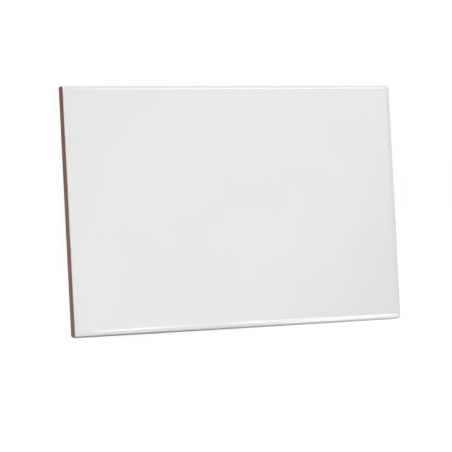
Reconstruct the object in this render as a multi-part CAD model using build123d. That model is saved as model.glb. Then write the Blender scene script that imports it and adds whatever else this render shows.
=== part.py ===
import os
from math import asin, cos, degrees, sin

from build123d import *

# Ceramic wall tile, lying on its back with the glazed face up.
# Sizes are in millimetres.
# The origin is the middle of the back, on the plane of the rib tops.
# X runs along the length, Y along the width and Z up through the thickness.

# Format of the tile
tile_length = 330.0
tile_width = 200.0
tile_thickness = 7.2
corner_radius = 1.2

# Cushion edge: the flat face curves down to a rounded arris on every side
cushion_width = 4.0
cushion_drop = 0.5
arris_radius = 0.8

# Bevel where the sides meet the back
back_bevel = 0.4

# Keys pressed into the back, with the ribs left standing between them
rib_pitch = 22.0
rib_width = 3.0
border_width = 10.0
key_depth = 0.8
key_draft = 30.0
key_corner_clip = 1.5

# Shape of the cushion edge, worked out from its width and drop
cushion_radius = (cushion_width**2 + cushion_drop**2) / (2 * cushion_drop)
cushion_slope = asin(cushion_width / cushion_radius)
side_top = tile_thickness - cushion_drop - arris_radius * cos(cushion_slope)
margin_width = cushion_width + arris_radius * (1 - sin(cushion_slope))


def half_section(half_span):
    """Upright section of the tile, from its middle out to one side."""
    flat_end = half_span - margin_width
    slope = degrees(cushion_slope)
    back = Line((0, 0), (half_span - back_bevel, 0))
    bevel = Line((half_span - back_bevel, 0), (half_span, back_bevel))
    side = Line((half_span, back_bevel), (half_span, side_top))
    arris_centre = (half_span - arris_radius, side_top)
    arris = CenterArc(arris_centre, arris_radius, 0, 90 - slope)
    cushion_centre = (flat_end, tile_thickness - cushion_radius)
    cushion = CenterArc(cushion_centre, cushion_radius, 90 - slope, slope)
    face = Line((flat_end, tile_thickness), (0, tile_thickness))
    middle = Line((0, tile_thickness), (0, 0))
    return make_face([back, bevel, side, arris, cushion, face, middle])


def whole_section(half_span):
    """Upright section of the tile from side to side."""
    half = half_section(half_span)
    return half + mirror(half, Plane.YZ)


# Body: one section run along each way, so the cushions meet on a soft hip
overrun = tile_thickness
run_across = extrude(Plane.XZ * whole_section(tile_length / 2), tile_width / 2 + overrun, both=True)
run_along = extrude(Plane.YZ * whole_section(tile_width / 2), tile_length / 2 + overrun, both=True)
body = run_across & run_along

# Rounded corners: the edge of the section turned through a quarter circle
edge_strip = Pos(tile_length / 2 - corner_radius / 2, tile_thickness / 2) * Rectangle(
    corner_radius, 2 * tile_thickness
)
edge_section = half_section(tile_length / 2) & edge_strip
edge_section = Pos(corner_radius - tile_length / 2, 0) * edge_section
quarter_turn = revolve(Plane.XZ * edge_section, Axis.Z, 90)
corner_post = Box(2 * corner_radius, 2 * corner_radius, 4 * tile_thickness)
centre_x = tile_length / 2 - corner_radius
centre_y = tile_width / 2 - corner_radius
for turn, way_x, way_y in ((0, 1, 1), (90, -1, 1), (180, -1, -1), (270, 1, -1)):
    body -= Pos(way_x * tile_length / 2, way_y * tile_width / 2) * corner_post
    body += Pos(way_x * centre_x, way_y * centre_y) * Rot(0, 0, turn) * quarter_turn

# Keys in the back: whole cells fill the space inside the border, with a rib on each centre line
keyed_length = tile_length - 2 * border_width + rib_width
keyed_width = tile_width - 2 * border_width + rib_width
columns = 2 * max(1, round(keyed_length / rib_pitch / 2))
rows = 2 * max(1, round(keyed_width / rib_pitch / 2))
pitch_x = keyed_length / columns
pitch_y = keyed_width / rows
key_mouth = Rectangle(pitch_x - rib_width, pitch_y - rib_width)
key_mouth = chamfer(key_mouth.vertices(), key_corner_clip)
key = extrude(key_mouth, key_depth, taper=key_draft)
tile = body - GridLocations(pitch_x, pitch_y, columns, rows) * key

os.makedirs("parts", exist_ok=True)
tile.label = "tile"
export_step(tile, "parts/tile.step")
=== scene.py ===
from math import asin, cos, pi, radians, sin, sqrt, tan

import bmesh
import bpy
from mathutils import Matrix, Vector, noise


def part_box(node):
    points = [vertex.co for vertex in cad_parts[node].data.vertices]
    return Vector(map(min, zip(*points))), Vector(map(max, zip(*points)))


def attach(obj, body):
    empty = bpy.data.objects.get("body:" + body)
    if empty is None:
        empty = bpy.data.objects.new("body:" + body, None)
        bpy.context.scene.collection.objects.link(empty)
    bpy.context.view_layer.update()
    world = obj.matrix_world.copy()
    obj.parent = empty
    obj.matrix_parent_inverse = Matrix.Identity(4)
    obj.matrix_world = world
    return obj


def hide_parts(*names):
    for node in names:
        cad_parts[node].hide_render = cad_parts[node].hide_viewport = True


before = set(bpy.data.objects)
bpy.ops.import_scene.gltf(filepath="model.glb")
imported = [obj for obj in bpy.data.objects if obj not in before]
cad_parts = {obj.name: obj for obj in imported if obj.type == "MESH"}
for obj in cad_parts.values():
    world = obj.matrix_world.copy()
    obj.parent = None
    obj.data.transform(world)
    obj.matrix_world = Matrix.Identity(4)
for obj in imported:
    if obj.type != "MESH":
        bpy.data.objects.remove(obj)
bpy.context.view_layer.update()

mm = 0.001

# Format of the tile, taken from the solid
half_length, half_width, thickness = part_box("tile")[1]
corner_radius = 1.2 * mm

# Cushion edge, as in the solid
cushion_width = 4 * mm
cushion_drop = 0.5 * mm
arris_radius = 0.8 * mm
cushion_radius = (cushion_width**2 + cushion_drop**2) / (2 * cushion_drop)
cushion_slope = asin(cushion_width / cushion_radius)
arris_run = arris_radius * (1 - sin(cushion_slope))
margin_width = cushion_width + arris_run
side_top = thickness - cushion_drop - arris_radius * cos(cushion_slope)

# Soft hips: how much the radius of a corner grows for each step in from the outline
hip_growth = 0.3

# Back, as in the solid
back_bevel = 0.4 * mm
rib_pitch = 22 * mm
rib_width = 3 * mm
border_width = 10 * mm
key_depth = 0.8 * mm
key_draft = radians(30)
key_corner_clip = 1.5 * mm
keyed_length = 2 * (half_length - border_width) + rib_width
keyed_width = 2 * (half_width - border_width) + rib_width
key_columns = 2 * max(1, round(keyed_length / rib_pitch / 2))
key_rows = 2 * max(1, round(keyed_width / rib_pitch / 2))

# Softened mouth and foot of each key
rim_run = 0.3 * mm
rim_depth = 0.08 * mm
foot_run = 0.3 * mm
foot_depth = 0.12 * mm

# Lower end of the glaze on the sides: a thin lip on a line that wanders
glaze_lip = 0.1 * mm
glaze_lip_drop = 0.06 * mm
glaze_line_drop = 0.1 * mm
least_line_drop = 0.02 * mm
glaze_line_wander = 0.22 * mm
glaze_line_swell = 17 * mm
glaze_line_ripple = 6 * mm
swell_share = 0.6

# Glaze on the arris of the long sides: how much thicker it lies there than on the short sides
long_side_cover = 0.6

# Sag of the glaze on the cushions, and its share along the front and the rear side
cushion_wander = 0.03 * mm
cushion_swell = 28 * mm
cushion_ripple = 0.014 * mm
ripple_length = 34 * mm
ripple_breadth = 1.1 * mm
ripple_seed = 6.3
front_sag = 1
rear_sag = 0.3

# Face that isn't quite flat
face_wander = 0.03 * mm
face_swell = 70 * mm

# Way from one pattern of unevenness to the next
seed_way = Vector((1, 2.3, 4.7))

# Fineness of the mesh
arris_steps = 7
cushion_steps = 12
field_edge = 1 * mm
field_step = 5 * mm
key_corner_steps = 3
cut_tolerance = 0.0001 * mm
crease_angle = radians(28)

# Order of the tile's two finishes
glaze_index = 0
clay_index = 1


def wander(place, size, seed):
    """Smooth unevenness from -1 to 1 whose swells are about as large as size."""
    return noise.noise(place / size + seed * seed_way)


def swell(place, size, seed):
    """Smooth unevenness from 0 to 1."""
    return 0.5 + 0.5 * wander(place, size, seed)


def link(name, data):
    """A new object at the origin that shows this mesh, lamp or camera."""
    piece = bpy.data.objects.new(name, data)
    bpy.context.scene.collection.objects.link(piece)
    return piece


# Shape of the tile


def core_of(place):
    """Nearest point of the rectangle on whose corners the plan corners are centred."""
    reach_x = half_length - corner_radius
    reach_y = half_width - corner_radius
    return Vector((max(-reach_x, min(reach_x, place.x)), max(-reach_y, min(reach_y, place.y)), 0))


def out_of_core(place):
    """Level way from the core to a point."""
    return Vector((place.x, place.y, 0)) - core_of(place)


def edge_distance(place):
    """How far a point of the plan lies in from the tile's outline.

    Lines of equal distance turn each corner on a radius that grows on the way in,
    so that the cushions of two sides meet on a soft hip.
    """
    from_end = half_length - abs(place.x)
    from_side = half_width - abs(place.y)
    nearest = min(from_end, from_side)
    shift = 1 + hip_growth
    past_x = corner_radius - from_end
    past_y = corner_radius - from_side
    if min(past_x, past_y) + shift * nearest <= 0:
        return nearest
    square = 2 * shift**2 - hip_growth**2
    slope = shift * (past_x + past_y) - hip_growth * corner_radius
    start = past_x**2 + past_y**2 - corner_radius**2
    return (sqrt(max(0, slope**2 - square * start)) - slope) / square


def face_height(distance):
    """Height of the glazed face at a distance in from the outline."""
    if distance < arris_run:
        return side_top + sqrt(max(0, arris_radius**2 - (arris_radius - distance) ** 2))
    if distance < margin_width:
        return thickness - cushion_radius + sqrt(cushion_radius**2 - (margin_width - distance) ** 2)
    return thickness


def margin_stations():
    """Distances from the outline to each line of the margin, close together round the arris."""
    stations = []
    for step in range(1, arris_steps + 1):
        turn = (radians(90) - cushion_slope) * step / arris_steps
        stations.append(arris_radius * (1 - cos(turn)))
    for step in range(1, cushion_steps + 1):
        stations.append(arris_run + cushion_width * step / cushion_steps)
    stations.append(margin_width + field_edge)
    return stations


def score_across(bm, along, half_span):
    """Cut the sheet right across on every line of the margin and at even steps over the field."""
    places = [half_span - station for station in margin_stations()]
    field = places[-1]
    field_lines = round(field / field_step)
    places += [field * step / field_lines for step in range(1, field_lines)]
    places += [-place for place in places] + [0]
    for place in places:
        sheet = bm.verts[:] + bm.edges[:] + bm.faces[:]
        cut = along * place
        bmesh.ops.bisect_plane(bm, geom=sheet, dist=cut_tolerance, plane_co=cut, plane_no=along)


def round_plan_corners(bm):
    """Draw the square corners of the sheet in to quarter circles."""
    for vert in bm.verts:
        out = out_of_core(vert.co)
        if out.length > 0:
            vert.co = core_of(vert.co) + out.normalized() * max(abs(out.x), abs(out.y))


def cushion_fall(place, distance):
    """How far the glaze sags on the cushion: broad swells, and ripples that run along the edge."""
    swells = swell(place, cushion_swell, seed=3.1)
    along = (place.x + place.y) / ripple_length
    ripples = 0.5 + 0.5 * noise.noise(Vector((along, distance / ripple_breadth, ripple_seed)))
    towards_rear = 0.5 + 0.5 * place.y / half_width
    sag = front_sag + (rear_sag - front_sag) * towards_rear
    return sag * (cushion_wander * swells + cushion_ripple * ripples)


def press_face(bm):
    """Set each point of the sheet to the height of the cushion-edged face."""
    for vert in bm.verts:
        distance = edge_distance(vert.co)
        into_margin = max(0, min(1, (margin_width - distance) / cushion_width))
        # The sag is full in the middle of the cushion and ends at both its edges
        mid_margin = 4 * into_margin * (1 - into_margin)
        fall = cushion_fall(vert.co, distance) * mid_margin
        dip = face_wander * swell(vert.co, face_swell, seed=8.4) * (1 - into_margin)
        vert.co.z = face_height(distance) - fall - dip


def open_rim(bm):
    """Edges of the sheet that no second face meets yet."""
    return [edge for edge in bm.edges if edge.is_boundary]


def carry_rim(bm, inset, height):
    """Carry the open rim on to a new ring at this distance in from the outline and this height."""
    made = bmesh.ops.extrude_edge_only(bm, edges=open_rim(bm))["geom"]
    for vert in made:
        if isinstance(vert, bmesh.types.BMVert):
            level = height(vert.co)
            out = out_of_core(vert.co).normalized()
            vert.co = core_of(vert.co) + out * (corner_radius - inset)
            vert.co.z = level


def glaze_line(place):
    """Height at which the glaze ends on the side: uneven along the edge, and always below the arris."""
    flat = Vector((place.x, place.y, 0))
    swells = wander(flat, glaze_line_swell, seed=5.2)
    ripples = wander(flat, glaze_line_ripple, seed=1.9)
    uneven = swell_share * swells + (1 - swell_share) * ripples
    return side_top - max(least_line_drop, glaze_line_drop - glaze_line_wander * uneven)


def note_glaze_cover(bm):
    """Note on each point how thick the glaze lies.

    It is full past the arris, and thinnest on the arris of the short sides.
    """
    cover = bm.verts.layers.float.new("glaze_cover")
    for vert in bm.verts:
        along_side = abs(out_of_core(vert.co).normalized().y)
        vert[cover] = min(1, edge_distance(vert.co) / arris_run + long_side_cover * along_side)


def press_keys(bm):
    """Sink a field of drafted keys with rounded corners, each open at its mouth on the back plane."""
    before = set(bm.faces)
    field = Matrix.Diagonal((keyed_length, keyed_width, 1, 1))
    bmesh.ops.create_grid(bm, x_segments=key_columns, y_segments=key_rows, size=0.5, matrix=field)
    keys = [face for face in bm.faces if face not in before]
    ribs = bmesh.ops.inset_individual(bm, faces=keys, thickness=rib_width / 2, use_even_offset=True)
    bmesh.ops.delete(bm, geom=ribs["faces"], context="FACES")
    bmesh.ops.bevel(
        bm,
        geom=[vert for key in keys for vert in key.verts],
        offset=key_corner_clip,
        offset_type="OFFSET",
        affect="VERTICES",
        segments=key_corner_steps,
        profile=0.5,
        material=-1,
        clamp_overlap=True,
    )
    wall_depth = key_depth - rim_depth - foot_depth
    wall_run = wall_depth * tan(key_draft)
    floors = [face for face in bm.faces if face not in before]
    for run, depth in ((rim_run, rim_depth), (wall_run, wall_depth), (foot_run, foot_depth)):
        bmesh.ops.inset_individual(bm, faces=floors, thickness=run, depth=depth, use_even_offset=True)


def middle_of(edge):
    """Middle of an edge, as a value to sort edges by."""
    first, second = edge.verts
    return tuple((first.co + second.co) / 2)


def close_back(bm):
    """Close the back plane round the mouths of the keys, the same way each run."""
    press_keys(bm)
    rim = sorted(open_rim(bm), key=middle_of)
    bmesh.ops.triangle_fill(bm, edges=rim, use_beauty=True, normal=(0, 0, -1))


def tile_mesh():
    """The whole tile as one closed mesh: glazed face and arris, clay sides and keyed back."""
    bm = bmesh.new()
    bmesh.ops.create_grid(bm, x_segments=1, y_segments=1, size=1)
    bmesh.ops.scale(bm, vec=(half_length, half_width, 1), verts=bm.verts)
    score_across(bm, Vector((1, 0, 0)), half_length)
    score_across(bm, Vector((0, 1, 0)), half_width)
    round_plan_corners(bm)
    press_face(bm)
    carry_rim(bm, 0, glaze_line)
    note_glaze_cover(bm)
    glazed = set(bm.faces)
    carry_rim(bm, glaze_lip, lambda place: place.z - glaze_lip_drop)
    carry_rim(bm, glaze_lip, lambda place: back_bevel)
    carry_rim(bm, glaze_lip + back_bevel, lambda place: 0)
    close_back(bm)
    for face in bm.faces:
        face.smooth = True
        face.material_index = glaze_index if face in glazed else clay_index
    bmesh.ops.recalc_face_normals(bm, faces=bm.faces)
    for edge in bm.edges:
        edge.smooth = edge.calc_face_angle(0) < crease_angle
    mesh = bpy.data.meshes.new("glazed_tile")
    bm.to_mesh(mesh)
    bm.free()
    return mesh


# Finishes


def node(tree, kind, **values):
    """A shader node whose named inputs are set from the values given."""
    made = tree.nodes.new(kind)
    for name, value in values.items():
        made.inputs[name.replace("_", " ")].default_value = value
    return made


def feed(tree, socket, value):
    """Give a socket a value, either outright or from another node."""
    if isinstance(value, bpy.types.NodeSocket):
        tree.links.new(value, socket)
    else:
        socket.default_value = value


def new_finish(name):
    """An empty material, its node tree and its surface shader."""
    material = bpy.data.materials.new(name)
    material.use_nodes = True
    return material, material.node_tree, material.node_tree.nodes["Principled BSDF"]


def own_place(tree):
    """Place on the object, in the frame of the tile."""
    return tree.nodes.new("ShaderNodeTexCoord").outputs["Object"]


def grain(tree, scale, detail):
    """Noise from 0 to 1 laid on the object's own coordinates."""
    made = node(tree, "ShaderNodeTexNoise", Scale=scale, Detail=detail, Roughness=0.55)
    tree.links.new(own_place(tree), made.inputs["Vector"])
    return made.outputs["Fac"]


def spread(tree, value, over, onto):
    """Stretch part of a value's range on to another range, and hold it at both ends."""
    made = node(
        tree,
        "ShaderNodeMapRange",
        From_Min=over[0],
        From_Max=over[1],
        To_Min=onto[0],
        To_Max=onto[1],
    )
    tree.links.new(value, made.inputs["Value"])
    return made.outputs["Result"]


def blend_colours(tree, share, first, second):
    """Mix of two colours, either given outright or taken from another node."""
    made = tree.nodes.new("ShaderNodeMix")
    made.data_type = "RGBA"
    # The node has sockets for each kind of value, and these are the ones for colours
    first_socket, second_socket, mixed_socket = made.inputs[6], made.inputs[7], made.outputs[2]
    tree.links.new(share, made.inputs[0])
    feed(tree, first_socket, first)
    feed(tree, second_socket, second)
    return mixed_socket


def raise_by(tree, height, strength, distance, under=None):
    """Bump from a height, on top of another bump if one is given."""
    made = node(tree, "ShaderNodeBump", Strength=strength, Distance=distance)
    tree.links.new(height, made.inputs["Height"])
    if under is not None:
        tree.links.new(under, made.inputs["Normal"])
    return made.outputs["Normal"]


def share_along(tree, axis, start, end):
    """0 at one place along an axis of the tile and 1 at another."""
    split = tree.nodes.new("ShaderNodeSeparateXYZ")
    tree.links.new(own_place(tree), split.inputs[0])
    return spread(tree, split.outputs[axis], over=(start, end), onto=(0, 1))


def noted(tree, name):
    """A value noted on the points of the mesh."""
    made = tree.nodes.new("ShaderNodeAttribute")
    made.attribute_name = name
    return made.outputs["Fac"]


def reckon(tree, operation, first, second):
    """Sum or product of two values, either given outright or taken from another node."""
    made = tree.nodes.new("ShaderNodeMath")
    made.operation = operation
    feed(tree, made.inputs[0], first)
    feed(tree, made.inputs[1], second)
    return made.outputs[0]


def white_glaze():
    """Glossy white glaze with faint clouds of tone and a hint of orange peel.

    It lies thin on the arris, where the clay warms it in uneven stretches.
    """
    soft_white = (0.780, 0.780, 0.776, 1)
    clear_white = (0.800, 0.800, 0.797, 1)
    warmed = (0.400, 0.260, 0.215, 1)
    material, tree, surface = new_finish("white_gloss_glaze")
    clouds = spread(tree, grain(tree, scale=14, detail=2), over=(0.3, 0.7), onto=(0, 1))
    white = blend_colours(tree, clouds, soft_white, clear_white)
    thin = spread(tree, noted(tree, "glaze_cover"), over=(0.08, 0.5), onto=(1, 0))
    stretches = spread(tree, grain(tree, scale=90, detail=3), over=(0.35, 0.65), onto=(0.5, 1))
    colour = blend_colours(tree, reckon(tree, "MULTIPLY", thin, stretches), white, warmed)
    tree.links.new(colour, surface.inputs["Base Color"])
    polish = spread(tree, grain(tree, scale=120, detail=3), over=(0.3, 0.7), onto=(0.05, 0.08))
    tree.links.new(polish, surface.inputs["Roughness"])
    surface.inputs["IOR"].default_value = 1.54
    swells = raise_by(tree, grain(tree, scale=45, detail=1), strength=0.02, distance=0.3 * mm)
    fine = grain(tree, scale=420, detail=2)
    peel = raise_by(tree, fine, strength=0.012, distance=0.1 * mm, under=swells)
    tree.links.new(peel, surface.inputs["Normal"])
    return material


def red_clay():
    """Bare fired clay: soft patches, dark and pale grit and a dry surface.

    It pales towards the back, and it is lighter towards the front long side with painted bounce light.
    """
    deep_colours = (0.168, 0.081, 0.064, 1), (0.204, 0.098, 0.077, 1)
    pale_colours = (0.310, 0.174, 0.147, 1), (0.374, 0.210, 0.178, 1)
    dark_speck = (0.140, 0.070, 0.052, 1)
    pale_speck = (0.520, 0.380, 0.310, 1)
    back_share = 0.55
    painted_bounce_share = 0.45
    material, tree, surface = new_finish("fired_red_clay")
    patches = spread(tree, grain(tree, scale=55, detail=3), over=(0.32, 0.68), onto=(0, 1))
    deep = blend_colours(tree, patches, *deep_colours)
    pale = blend_colours(tree, patches, *pale_colours)
    towards_back = reckon(tree, "MULTIPLY", share_along(tree, "Z", side_top, 0), back_share)
    # Painted bounce light: the clay is made lighter towards the front long side
    painted_light_frontward = share_along(tree, "Y", half_width, -half_width)
    painted_bounce_light = reckon(tree, "MULTIPLY", painted_light_frontward, painted_bounce_share)
    body = blend_colours(tree, reckon(tree, "ADD", towards_back, painted_bounce_light), deep, pale)
    dark_grit = spread(tree, grain(tree, scale=2600, detail=3), over=(0.55, 0.75), onto=(0, 0.55))
    gritty = blend_colours(tree, dark_grit, body, dark_speck)
    pale_grit = spread(tree, grain(tree, scale=1900, detail=3), over=(0.60, 0.80), onto=(0, 0.4))
    finished = blend_colours(tree, pale_grit, gritty, pale_speck)
    tree.links.new(finished, surface.inputs["Base Color"])
    dryness = spread(tree, grain(tree, scale=300, detail=2), over=(0.3, 0.7), onto=(0.82, 0.97))
    tree.links.new(dryness, surface.inputs["Roughness"])
    surface.inputs["Specular IOR Level"].default_value = 0.3
    coarse = raise_by(tree, grain(tree, scale=500, detail=3), strength=0.35, distance=0.25 * mm)
    sand = grain(tree, scale=2200, detail=2)
    fine = raise_by(tree, sand, strength=0.3, distance=0.1 * mm, under=coarse)
    tree.links.new(fine, surface.inputs["Normal"])
    return material


# Studio


def seen_directly(tree):
    """1 for what the camera sees, also in gloss or through glass, and 0 for light that falls."""
    path = tree.nodes.new("ShaderNodeLightPath").outputs
    seen = reckon(tree, "ADD", path["Is Camera Ray"], path["Is Glossy Ray"])
    return reckon(tree, "ADD", seen, path["Is Transmission Ray"])


def distance_from_tile(tree):
    """Distance from the tile's middle, squeezed along its length so that all sides are equally far."""
    squeeze = tree.nodes.new("ShaderNodeVectorMath")
    squeeze.operation = "MULTIPLY"
    squeeze.inputs[1].default_value = (half_width / half_length, 1, 1)
    tree.links.new(own_place(tree), squeeze.inputs[0])
    distance = tree.nodes.new("ShaderNodeVectorMath")
    distance.operation = "LENGTH"
    tree.links.new(squeeze.outputs[0], distance.inputs[0])
    return distance.outputs["Value"]


def white_floor(near_lift, far_lift, lift_reach, painted_corner_light):
    """Pale floor that takes the tile's shadow and otherwise reads as white paper.

    It is lifted towards white the further it lies from the tile, and a painted pool of light by the tile's
    front right corner lightens the tile's shadow there.
    """
    material = bpy.data.materials.new("studio_floor")
    material.use_nodes = True
    tree = material.node_tree
    tree.nodes.clear()
    paper = node(tree, "ShaderNodeBsdfDiffuse", Color=(0.96, 0.96, 0.96, 1))
    reach = (half_width, lift_reach)
    even_lift = spread(tree, distance_from_tile(tree), over=reach, onto=(near_lift, far_lift))
    # Painted light: a glow towards the tile's front right corner that lightens its shadow line there
    painted_light_rightward = share_along(tree, "X", -half_length / 2, half_length)
    painted_light_frontward = share_along(tree, "Y", 0, -half_width)
    painted_light_cornerward = reckon(tree, "MULTIPLY", painted_light_rightward, painted_light_frontward)
    lift = reckon(tree, "ADD", even_lift, reckon(tree, "MULTIPLY", painted_light_cornerward, painted_corner_light))
    glow = tree.nodes.new("ShaderNodeEmission")
    tree.links.new(reckon(tree, "MULTIPLY", lift, seen_directly(tree)), glow.inputs["Strength"])
    both = tree.nodes.new("ShaderNodeAddShader")
    tree.links.new(paper.outputs[0], both.inputs[0])
    tree.links.new(glow.outputs[0], both.inputs[1])
    out = tree.nodes.new("ShaderNodeOutputMaterial")
    tree.links.new(both.outputs[0], out.inputs["Surface"])
    return material


def studio_floor(reach, gap):
    """A square of floor that reaches this far each way, this gap below the tile's back."""
    bm = bmesh.new()
    bmesh.ops.create_grid(bm, x_segments=1, y_segments=1, size=reach)
    bmesh.ops.translate(bm, vec=(0, 0, -gap), verts=bm.verts)
    mesh = bpy.data.meshes.new("studio_floor")
    bm.to_mesh(mesh)
    bm.free()
    mesh.materials.append(white_floor(near_lift=0.10, far_lift=0.9, lift_reach=0.8, painted_corner_light=0.25))
    return link("studio_floor", mesh)


def studio_air(fill):
    """Even fill light all round, seen as white."""
    white = (1, 1, 1, 1)
    world = bpy.data.worlds.new("studio_air")
    bpy.context.scene.world = world
    world.use_nodes = True
    tree = world.node_tree
    tree.nodes.clear()
    falls = node(tree, "ShaderNodeBackground", Color=white, Strength=fill)
    shows = node(tree, "ShaderNodeBackground", Color=white, Strength=1)
    choice = tree.nodes.new("ShaderNodeMixShader")
    tree.links.new(seen_directly(tree), choice.inputs[0])
    tree.links.new(falls.outputs[0], choice.inputs[1])
    tree.links.new(shows.outputs[0], choice.inputs[2])
    out = tree.nodes.new("ShaderNodeOutputWorld")
    tree.links.new(choice.outputs[0], out.inputs["Surface"])


def softbox(name, x, y, height, brightness, turn=0):
    """A flat lamp that faces the floor, as bright to look at as a white of this strength.

    It spans x and y before it is turned about its middle by an angle.
    """
    lamp = bpy.data.lights.new(name, "AREA")
    lamp.shape = "RECTANGLE"
    lamp.size = x[1] - x[0]
    lamp.size_y = y[1] - y[0]
    lamp.energy = brightness * pi * lamp.size * lamp.size_y
    box = link(name, lamp)
    box.location = ((x[0] + x[1]) / 2, (y[0] + y[1]) / 2, height)
    box.rotation_euler.z = turn
    box.visible_camera = False
    return box


def gloss_card(name, x, y, height, brightness):
    """A lamp that only shows in the gloss, as a white card would, and lights nothing else."""
    card = softbox(name, x, y, height, brightness)
    card.visible_diffuse = False
    return card


def fade_across(box, stops):
    """Let a lamp's brightness change along its length, from stops of place and share."""
    lamp = box.data
    lamp.use_nodes = True
    tree = lamp.node_tree
    place = tree.nodes.new("ShaderNodeNewGeometry")
    split = tree.nodes.new("ShaderNodeSeparateXYZ")
    tree.links.new(place.outputs["Parametric"], split.inputs[0])
    shares = tree.nodes.new("ShaderNodeValToRGB")
    shares.color_ramp.interpolation = "EASE"
    ramp = shares.color_ramp.elements
    while len(ramp) < len(stops):
        ramp.new(position=0.5)
    for stop, (where, share) in zip(ramp, stops):
        stop.position = where
        stop.color = (share, share, share, 1)
    tree.links.new(split.outputs["X"], shares.inputs[0])
    tree.links.new(shares.outputs["Color"], tree.nodes["Emission"].inputs["Strength"])


def light_rear_edge():
    """A slanting strip whose glint runs along the cushion of the rear long side."""
    strip = softbox(
        "upper_strip",
        x=(0.515, 1.1),
        y=(0.4125, 0.5325),
        height=1.0,
        brightness=6.5,
        turn=radians(10),
    )
    fade_across(strip, ((0, 0.5), (0.25, 1), (0.66, 1), (0.82, 0.9)))


def light_front_edge(height):
    """Two cards in a row whose glint runs along the cushion of the front long side."""
    meeting = 1.575
    gloss_card("lower_card_right", x=(meeting, 1.84), y=(-0.98, -0.31), height=height, brightness=5.1)
    left = gloss_card("lower_card_left", x=(1.08, meeting), y=(-0.62, -0.26), height=height, brightness=6.3)
    bright_start = ((0.07, 0), (0.19, 1), (0.26, 1))
    dim_middle = ((0.4, 0.66), (0.59, 0.3), (0.65, 0.4))
    clear_end = ((0.73, 1), (0.8, 0.7))
    fade_across(left, bright_start + dim_middle + clear_end)


def light_face(height):
    """A wide slanting lamp whose sheen lies across the face, and a dim card to the left of it."""
    gloss_card("left_card", x=(0.15, 1.06), y=(-0.25, 0.15), height=height, brightness=0.6)
    sheen = softbox(
        "face_sheen",
        x=(1.05, 1.79),
        y=(-0.38, 0.57),
        height=height,
        brightness=1.4,
        turn=radians(-37.5),
    )
    fade_across(sheen, ((0, 0.33), (0.3, 0.92), (0.66, 0.98), (1, 0.18)))


def point_camera(place, aim, picture_up, lens):
    """The camera at its place, turned so that picture_up points up the picture."""
    data = bpy.data.cameras.new("photo_camera")
    data.lens = lens
    data.sensor_width = 36
    camera = link("photo_camera", data)
    forward = (Vector(aim) - Vector(place)).normalized()
    right = forward.cross(Vector(picture_up)).normalized()
    up = right.cross(forward)
    turn = Matrix((right, up, -forward)).transposed()
    camera.matrix_world = Matrix.Translation(place) @ turn.to_4x4()
    bpy.context.scene.camera = camera


# The tile
tile = link("glazed_tile", tile_mesh())
tile.data.materials.append(white_glaze())
tile.data.materials.append(red_clay())
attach(tile, "root")
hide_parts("tile")

# Floor, light and camera
card_height = 2.0
studio_floor(reach=8, gap=0.05 * mm)
studio_air(fill=0.13)
softbox("key_light", x=(-2.4, -0.3), y=(0.55, 0.85), height=4.0, brightness=79.5)
light_rear_edge()
light_front_edge(card_height)
light_face(card_height)
point_camera(
    place=(-1.3857, -0.0738, 1.9666),
    aim=(-0.0139, -0.0161, 0.0072),
    picture_up=(0.0284, 0.9984, 0.0493),
    lens=231.0,
)
bpy.context.scene.view_settings.view_transform = "Standard"
